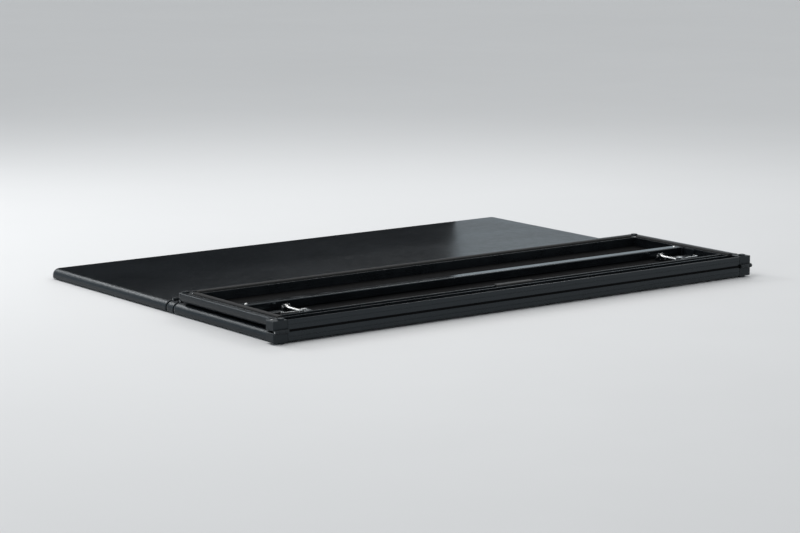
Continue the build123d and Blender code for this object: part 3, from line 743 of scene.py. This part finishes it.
def folded_seam():
    """Where the rear panel is folded over: the sheet turns back on itself behind the axis."""
    steps, bulge = 12, 2.9 * MM
    section = []
    for i in range(steps + 1):
        share = i / steps
        z = SKIN_TOP * (1 - 2 * share)
        section.append((HINGE_GAP - bulge * (1 - (z / SKIN_TOP) ** 2), z, share))
    piece = seam("rear_crease", REAR_AXIS, STACK_COLUMNS, section, True)
    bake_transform(piece)
    return piece


front_crease = flat_seam("front_crease", FRONT_AXIS)
link_crease = flat_seam("link_crease", MID_AXIS)
rear_crease = folded_seam()
panel_skin(FRONT, "front_skin", "front_vinyl", [(0, True)])
panel_skin(MID, "mid_skin", "mid_vinyl", [(0, False), (MID.length, True)])
panel_skin(REAR, "rear_skin", "rear_vinyl", [(0, False)])
link_skin()


# ------------------------------------------------------------------ seals, splines and bumper pad
STRIP_STEP = 12 * MM
STRIP_CORNER = 2 * MM        # from a side rail's inner face to the end rail's strip


def strips(panel, section, near, far, ends, sway):
    """The same section under both side rails and, if the panel wraps, under its end rail."""
    shapes = []
    middle = RAIL_OUT - (near + far) / 2
    for side in (-1, 1):
        start, stop = (Vector(panel.place((side * middle, y, 0))) for y in ends)
        shapes.append(extruded(section, start, stop, Vector((1, 0, 0)), Vector((0, 0, panel.up)),
                               (stop - start).length / STRIP_STEP, sway, side * 3.7))
    if panel.wraps:
        reach = RAIL_IN - STRIP_CORNER
        y = panel.length - VINYL - (near + far) / 2
        start, stop = (Vector(panel.place((x, y, 0))) for x in (-reach, reach))
        shapes.append(extruded(section, start, stop, Vector((0, panel.forward, 0)), Vector((0, 0, panel.up)),
                               (stop - start).length / STRIP_STEP, sway, 9.1))
    return joined(shapes)


def seal_section(half, low, high):
    """Foam strip: square in its groove, and two soft lobes where it is pressed."""
    crown, lobe_depth = 4.6 * MM, 0.35 * MM
    points = [(-half, high), (-half, low + crown)]
    for i in range(1, 16):
        turn = math.pi * i / 16
        lobe = lobe_depth * (1 - abs(math.cos(turn))) ** 3
        points.append((-half * math.cos(turn), low + crown - crown * math.sin(turn) ** 0.55 + lobe))
    points += [(half, low + crown), (half, high)]
    return points


def spline_section(half, low, high):
    """Rubber spline: a round bead with small barbs."""
    middle = (low + high) / 2
    points = []
    steps = 20
    for i in range(steps):
        turn = 2 * math.pi * i / steps
        barb = 1 + 0.07 * math.cos(6 * turn)
        points.append((half * barb * math.cos(turn) * 0.92, middle + (high - low) / 2 * math.sin(turn)))
    return points


def soft_strips(panel, name, node, section, near, far, ends, material, sway):
    """The strips of one CAD node, between two places along the panel and, if it wraps, along its end."""
    piece = make_object(name, *strips(panel, section, near, far, ends, sway))
    finish_solid(piece, material, 50)
    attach(piece, panel.body)
    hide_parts(node)
    return piece


def side_ends(panel, node):
    """Where a node's strips start and end along its panel's side rails."""
    low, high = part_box(node)
    ends = sorted(panel.forward * (y - panel.hinge.y) for y in (low.y, high.y))
    return (ends[0], panel.length - VINYL - END_RAIL_WIDTH if panel.wraps else ends[1])


SEAL_LOW = -MID_AXIS.z
SEAL_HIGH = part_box("mid_seals")[1].z - MID_AXIS.z
SEAL_FAR = RAIL_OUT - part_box("front_seals")[1].x
SEAL_SPAN = 17 * MM          # across the strip
SPLINE_SPAN = 5 * MM
SPLINE_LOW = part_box("mid_splines")[0].z - MID_AXIS.z
SPLINE_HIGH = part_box("mid_splines")[1].z - MID_AXIS.z
SPLINE_NEAR = RAIL_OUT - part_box("mid_splines")[1].x

for panel in (FRONT, LINK, MID, REAR):
    stem = panel.body.split("_")[0] if panel is not LINK else "link"
    if panel is not LINK:
        seal = soft_strips(panel, f"{stem}_seal_strips", f"{stem}_seals",
                           seal_section(SEAL_SPAN / 2, SEAL_LOW, SEAL_HIGH), SEAL_FAR, SEAL_FAR + SEAL_SPAN,
                           side_ends(panel, f"{stem}_seals"), FOAM, 0.25 * MM)
    soft_strips(panel, f"{stem}_spline_cords", f"{stem}_splines",
                spline_section(2.4 * MM, SPLINE_LOW, SPLINE_HIGH), SPLINE_NEAR, SPLINE_NEAR + SPLINE_SPAN,
                side_ends(panel, f"{stem}_splines"), RUBBER, 0.0)


def bumper_pad():
    """Rubber pad with rounded ends and cross ribs on the face that takes the stack's weight."""
    low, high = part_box("bumper_pad")
    centre = (low + high) / 2
    half = (high - low) / 2
    rows, columns = 66, 24
    rib_depth, rows_a_rib = 0.7 * MM, 5
    squareness = 0.32            # 1 is an ellipse, 0 a rectangle
    vertices = []
    for i in range(rows):
        along = -1 + 2 * i / (rows - 1)
        taper = (1 - abs(along) ** 14) ** 0.5 if abs(along) < 1 else 0.0
        taper = 0.86 + 0.14 * taper
        for j in range(columns):
            turn = 2 * math.pi * j / columns
            y = math.copysign(abs(math.cos(turn)) ** squareness, math.cos(turn))
            z = math.copysign(abs(math.sin(turn)) ** squareness, math.sin(turn))
            rib = rib_depth * (0.5 - 0.5 * math.cos(2 * math.pi * i / rows_a_rib)) if z > 0.9 else 0.0
            vertices.append((centre.x + half.x * along, centre.y + half.y * y * taper,
                             centre.z + half.z * z * taper - rib))
    faces = grid_faces(rows, columns, closed=True)
    faces.append(tuple(range(columns))[::-1])
    faces.append(tuple((rows - 1) * columns + j for j in range(columns)))
    piece = make_object("ribbed_bumper_pad", vertices, faces)
    finish_solid(piece, RUBBER, 50)
    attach(piece, "rear_panel")
    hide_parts("bumper_pad")


bumper_pad()


# ------------------------------------------------------------------ screws
SCREW_ROOM = 12 * MM         # points this near one another, seen from above, are one screw's


def screw_head():
    """Pan head with a six-lobed socket, its outer face at z = 0."""
    socket, segments = 1.7 * MM, 36
    profile = [(-2.2 * MM, 2.0 * MM), (-2.2 * MM, 4.2 * MM), (-1.9 * MM, 4.2 * MM), (-1.1 * MM, 3.95 * MM),
               (-0.45 * MM, 3.4 * MM), (-0.08 * MM, 2.7 * MM), (0.0, 2.2 * MM), (-0.05 * MM, socket * 1.06),
               (-0.2 * MM, socket), (-1.3 * MM, socket * 0.97), (-1.5 * MM, 0.05 * MM)]

    def lobes(angle, z, radius):
        in_socket = MM < radius <= socket * 1.07
        return radius * (1 + 0.13 * math.cos(6 * angle)) if in_socket else radius

    vertices, faces = revolve(profile, segments, lobes)
    faces.append(tuple((len(profile) - 1) * segments + i for i in range(segments)))
    return vertices, faces


def screw_places(node, up):
    """Centres of the screws in a CAD node, at the outer face of their heads."""
    screws = []
    for vertex in frame["nodes"][node].data.vertices:
        for group in screws:
            if (group[0].co.xy - vertex.co.xy).length < SCREW_ROOM:
                group.append(vertex)
                break
        else:
            screws.append([vertex])
    places = []
    for group in screws:
        x = (min(v.co.x for v in group) + max(v.co.x for v in group)) / 2
        y = (min(v.co.y for v in group) + max(v.co.y for v in group)) / 2
        z = (min if up > 0 else max)(v.co.z for v in group)
        places.append(Vector((x, y, z)))
    return places


for panel in (FRONT, MID, REAR):
    stem = panel.body.split("_")[0]
    turn = Matrix.Rotation(math.pi if panel.up > 0 else 0, 4, "X")
    placements = []
    for index, place in enumerate(screw_places(f"{stem}_screws", panel.up)):
        stopped_at = Matrix.Rotation(index * 0.7, 4, "Z")     # no two sockets stop at the same angle
        placements.append(Matrix.Translation(place) @ turn @ stopped_at)
    piece = make_object(f"{stem}_socket_screws", *stamp(screw_head(), placements))
    piece.data.set_sharp_from_angle(angle=math.radians(35))
    piece.data.materials.append(STEEL)
    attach(piece, panel.body)
    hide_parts(f"{stem}_screws")


# ------------------------------------------------------------------ clamps
THREAD_PITCH = 2 * MM
ROD_R = 4 * MM
ROD_LENGTH = 122 * MM
ROD_PLAY = 0.1 * MM          # between the rod and the bores of the knob and the jaw
KNOB_LOW, KNOB_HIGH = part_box("rear_left_clamp_knob")
KNOB_LENGTH = KNOB_HIGH.y - KNOB_LOW.y
KNOB_R = (KNOB_HIGH.z - KNOB_LOW.z) / 2
LOBES = 6


def threaded_rod():
    """Eye bolt along +Z from its eye at the origin: forged eye, plain shank, rolled thread."""
    thread_start, thread_end = 38 * MM, 119 * MM
    depth, rings_a_turn = 0.62 * MM, 7
    profile = [(5.2 * MM, 5.6 * MM), (7.5 * MM, 5.2 * MM), (10 * MM, 4.4 * MM), (14 * MM, 4 * MM),
               (36 * MM, 4 * MM), (37.5 * MM, 3.75 * MM)]
    steps = round((thread_end - thread_start) / THREAD_PITCH * rings_a_turn)
    profile += [(thread_start + (thread_end - thread_start) * i / steps, ROD_R) for i in range(steps + 1)]
    profile += [(ROD_LENGTH - 1.2 * MM, 3.5 * MM), (ROD_LENGTH, 2.6 * MM), (ROD_LENGTH, 0.1 * MM)]

    def thread(angle, z, radius):
        if not thread_start <= z <= thread_end:
            return radius
        turns = (z / THREAD_PITCH - angle / (2 * math.pi)) % 1.0
        ridge = abs(2 * turns - 1)
        fade = float(ease(min(z - thread_start, thread_end - z) / (3 * MM)))
        return radius - depth * fade * float(ease(ridge * 1.25 - 0.12))

    shaft = revolve(profile, 24, thread)
    outer, inner, half = 7.4 * MM, 3.1 * MM, 5.5 * MM
    edge, steps = 1.3 * MM, 4                    # the eye's rounded edges
    rise = [QUARTER * i / steps for i in range(steps + 1)]
    ring = [(-half, inner), (-half, outer - edge)]
    ring += [(-half + edge * (1 - math.cos(a)), outer - edge + edge * math.sin(a)) for a in rise[1:]]
    ring += [(half - edge * (1 - math.cos(a)), outer - edge + edge * math.sin(a)) for a in rise[::-1]]
    ring += [(half, inner), (-half, inner)]
    lie_across = Matrix.Rotation(QUARTER, 4, "Y")
    return joined([shaft, stamp(revolve(ring, 48), [lie_across])])


def hand_knob():
    """Moulded knob along +Z from the jaw: collar, six-lobed grip, dished end and a plain bore.

    A station is its height in millimetres, its share of the knob's radius, and how deep the lobes are.
    """
    bore = ROD_R + ROD_PLAY
    stations = [(0, 0.40, 0), (0, 0.66, 0), (0.5, 0.70, 0), (2.4, 0.70, 0), (2.9, 0.73, 0.15),
                (3.5, 0.86, 0.6), (4.3, 0.955, 0.9), (5.4, 0.99, 1), (9, 1.0, 1), (14, 0.99, 1),
                (19, 0.975, 1), (22.2, 0.955, 1), (23.8, 0.92, 0.95), (24.9, 0.86, 0.85), (25.5, 0.78, 0.7),
                (25.7, 0.70, 0.5), (25.5, 0.64, 0.3), (24.7, 0.61, 0.15), (24.2, 0.57, 0), (24.1, 0.48, 0),
                (24.6, 0.44, 0), (24.6, bore / KNOB_R, 0), (3, bore / KNOB_R, 0)]
    highest = max(z for z, share, depth in stations)
    depths = {(z / highest * KNOB_LENGTH, share * KNOB_R): depth for z, share, depth in stations}

    def lobes(angle, z, radius):
        valley = 0.5 + 0.5 * math.cos(LOBES * angle)
        return radius * (1 - 0.17 * depths[(z, radius)] * valley ** 2.2)

    return revolve(list(depths), 84, lobes)


def cast_jaw():
    """Cast hook in the plane of its arm: hub on the rod, tapered arm with a rib, and a toothed lip."""
    hook = [(-8.8, 0, 3), (60, 0, 7), (68, 5, 4), (68, 22, 0.8), (66.6, 20.6, 0.4), (65.5, 22, 0.4),
            (64.4, 20.6, 0.4), (63, 22, 0.8), (63, 8, 4), (57, 5.2, 5), (16, 6.4, 6), (8.8, 11, 4),
            (8.8, 17, 1.5), (-8.8, 17, 3)]
    rib = [(4, 3, 1), (62, 3, 1), (64, 12, 1), (56, 8.6, 8), (24, 9.5, 10), (8, 16.5, 2)]
    hub = [(-9, 0.4, 2.5), (9, 0.4, 2.5), (9, 16, 2.5), (-9, 16, 2.5)]
    along_rod = Matrix.Rotation(-QUARTER, 4, "X")
    collar = turned([(12 * MM, 7.6 * MM), (17.4 * MM, 7.6 * MM), (18 * MM, 7.1 * MM)], 40)
    bore = turned([(-4 * MM, ROD_R + ROD_PLAY), (24 * MM, ROD_R + ROD_PLAY)], 40)
    return sculpted(prism(rounded(hub), 9 * MM),
                    [("UNION", prism(rounded(hook), 7 * MM)), ("UNION", prism(rounded(rib), 2.2 * MM)),
                     ("UNION", stamp(collar, [along_rod])), ("DIFFERENCE", stamp(bore, [along_rod]))])


def shared_mesh(name, shape, material):
    """A finished mesh that all four clamps use."""
    piece = make_object(name, *shape)
    finish_solid(piece, material, 60)
    mesh = piece.data
    bpy.data.objects.remove(piece)
    return mesh


ROD_MESH = shared_mesh("threaded_rod", threaded_rod(), STEEL)
KNOB_MESH = shared_mesh("hand_knob", hand_knob(), KNOB_FACE)
JAW_SHAPE = cast_jaw()
TOWARDS_HINGE = Matrix.Rotation(QUARTER, 4, "X")     # +Z of a shape to -Y of the cover


def threaded_piece(name, mesh, place, node):
    """A rod or knob put on the line of the rod."""
    piece = add_object(name, mesh)
    piece.matrix_world = Matrix.Translation(place) @ TOWARDS_HINGE
    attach(piece, node)
    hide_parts(node)


def hook_jaw(clamp, pivot):
    """The jaw on its rod, with its hook away from the middle of the cover."""
    outward = Matrix.Diagonal((math.copysign(1, pivot.x), 1, 1, 1))
    place = Matrix.Translation((pivot.x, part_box(f"{clamp}_jaw")[0].y, pivot.z)) @ outward
    piece = make_object(f"{clamp}_hook_jaw", *stamp(JAW_SHAPE, [place]))
    finish_solid(piece, ZINC, 50)
    soften(piece, 0.7 * MM)
    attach(piece, f"{clamp}_jaw")
    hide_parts(f"{clamp}_jaw")


for joint in frame["joints"]:
    if joint["name"].endswith("_swing"):
        clamp = joint["name"].removesuffix("_swing")
        pivot = Vector(joint["pos_m"])
        knob_base = Vector((pivot.x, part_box(f"{clamp}_knob")[1].y, pivot.z))
        threaded_piece(f"{clamp}_threaded_rod", ROD_MESH, pivot, f"{clamp}_rod")
        threaded_piece(f"{clamp}_hand_knob", KNOB_MESH, knob_base, f"{clamp}_knob")
        hook_jaw(clamp, pivot)


# ------------------------------------------------------------------ carried-over CAD nodes
for name in ("front_left_rail", "front_right_rail", "mid_left_rail", "mid_right_rail",
             "rear_left_rail", "rear_right_rail"):
    finish_cad(name, COAT_ALONG)
for name in ("header_rail", "tail_rail", "front_hinge_rail", "mid_front_hinge_rail", "mid_rear_hinge_rail",
             "rear_hinge_rail", "link_rail"):
    finish_cad(name, COAT_ACROSS, 0.8 * MM)
for name in ("front_bow", "mid_bow", "rear_bow"):
    finish_cad(name, BOW_COAT, 0.4 * MM)
for name in ("header_corners", "tail_corners", "front_hinge_blocks", "mid_hinge_blocks", "rear_hinge_blocks",
             "link_blocks", "front_bow_brackets", "mid_bow_brackets", "rear_bow_brackets"):
    finish_cad(name, NYLON, 0.5 * MM)
for name in ("front_hinge_pins", "mid_hinge_pins", "front_clamp_pins", "rear_clamp_pins"):
    finish_cad(name, STEEL, 0.4 * MM)
for name in ("front_clamp_brackets", "rear_clamp_brackets"):
    finish_cad(name, STEEL_COAT, 0.5 * MM)


# ------------------------------------------------------------------ floor, light and camera
CENTRE = (cad_box[0] + cad_box[1]) / 2
VIEW_AZIMUTH = math.radians(36.6)
VIEW_ELEVATION = math.radians(10.0)
VIEW_DISTANCE = 7.57
FLOOR_SIZE = 60
ROOM_LIGHT = 0.78
LOW_SKY = (0.58, 0.76, 0.88, 1.0)
WHITE = (1.0, 1.0, 1.0, 1.0)
CARD_ACROSS = (-0.80, 0.72)
CARD_HEIGHT = 0.45
CARD_GAP = 0.06              # from the cover's front edge


def aim(item, target):
    item.rotation_euler = (target - item.location).to_track_quat("-Z", "Y").to_euler()


def floor():
    bpy.ops.mesh.primitive_plane_add(size=FLOOR_SIZE, location=(0, 0, 0))
    ground = bpy.context.object
    ground.name = "floor"
    s = Surface("floor_paint")
    s.colour(s.noise(0.7, 3), (0.62, 0.625, 0.63), (0.66, 0.665, 0.67))
    s.rough(s.noise(4, 3), 0.6, 0.8)
    ground.data.materials.append(s.material)


def softbox(name, place, size, power, target=CENTRE):
    data = bpy.data.lights.new(name, "AREA")
    data.shape = "RECTANGLE"
    data.size, data.size_y = size
    data.energy = power
    lamp = add_object(name, data)
    lamp.location = place
    aim(lamp, target)


def surroundings():
    """A bright room: white above and to the camera's right, a little blue low down on its left."""
    world = bpy.data.worlds.new("room")
    bpy.context.scene.world = world
    world.use_nodes = True
    tree = world.node_tree

    def node(kind, inputs, **settings):
        return add_node(tree, kind, inputs, **settings).outputs

    def smooth_step(value, low, high):
        return node("ShaderNodeMapRange", {"Value": value, "From Min": low, "From Max": high},
                    interpolation_type="SMOOTHSTEP")[0]

    direction = node("ShaderNodeTexCoord", {})["Generated"]
    height = node("ShaderNodeSeparateXYZ", {0: direction})[2]
    right = VIEW_AZIMUTH + QUARTER
    rightward = node("ShaderNodeVectorMath", {0: direction, 1: (math.sin(right), math.cos(right), 0.0)},
                     operation="DOT_PRODUCT")["Value"]
    side = node("ShaderNodeMath", {0: smooth_step(rightward, -0.6, 0.9), 1: 0.35}, operation="MULTIPLY")[0]
    share = node("ShaderNodeMath", {0: side, 1: smooth_step(height, -0.1, 0.8)}, operation="ADD")[0]
    mixed = node("ShaderNodeMix", {0: share, 6: LOW_SKY, 7: WHITE}, data_type="RGBA")[2]
    tree.links.new(mixed, tree.nodes["Background"].inputs["Color"])
    tree.nodes["Background"].inputs["Strength"].default_value = ROOM_LIGHT


def shade_card():
    """A black card ahead of the cover's front edge, where the cab stands: only reflections see it."""
    left, right = CARD_ACROSS
    y = cad_box[1].y + CARD_GAP
    corners = [(left, y, 0), (right, y, 0), (right, y, CARD_HEIGHT), (left, y, CARD_HEIGHT)]
    card = make_object("shade_card", corners, [(0, 1, 2, 3)])
    s = Surface("card_black", Roughness=1.0)
    s.colour(s.noise(3, 2), (0.002, 0.002, 0.002), (0.004, 0.004, 0.004))
    card.data.materials.append(s.material)
    for ray in ("camera", "diffuse", "shadow", "transmission", "volume_scatter"):
        setattr(card, "visible_" + ray, False)


def camera():
    data = bpy.data.cameras.new("camera")
    data.lens = 116
    data.sensor_width = 36
    data.clip_end = 200
    eye = add_object("camera", data)
    away = Vector((math.sin(VIEW_AZIMUTH) * math.cos(VIEW_ELEVATION),
                   math.cos(VIEW_AZIMUTH) * math.cos(VIEW_ELEVATION), -math.sin(VIEW_ELEVATION)))
    eye.location = CENTRE - away * VIEW_DISTANCE
    aim(eye, CENTRE)
    bpy.context.scene.camera = eye


bpy.context.scene.view_settings.view_transform = "Standard"
floor()
surroundings()
shade_card()
softbox("key", (-1.6, 0.4, 3.6), (2.6, 1.8), 45)
softbox("left", (-1.55, 2.8, 2.0), (1.8, 0.9), 38, Vector((-0.8, 0, 0)))     # mirrored by the left edge
softbox("rim", (1.9, 1.6, 2.1), (1.9, 0.35), 14)                             # mirrored by small rounds
camera()
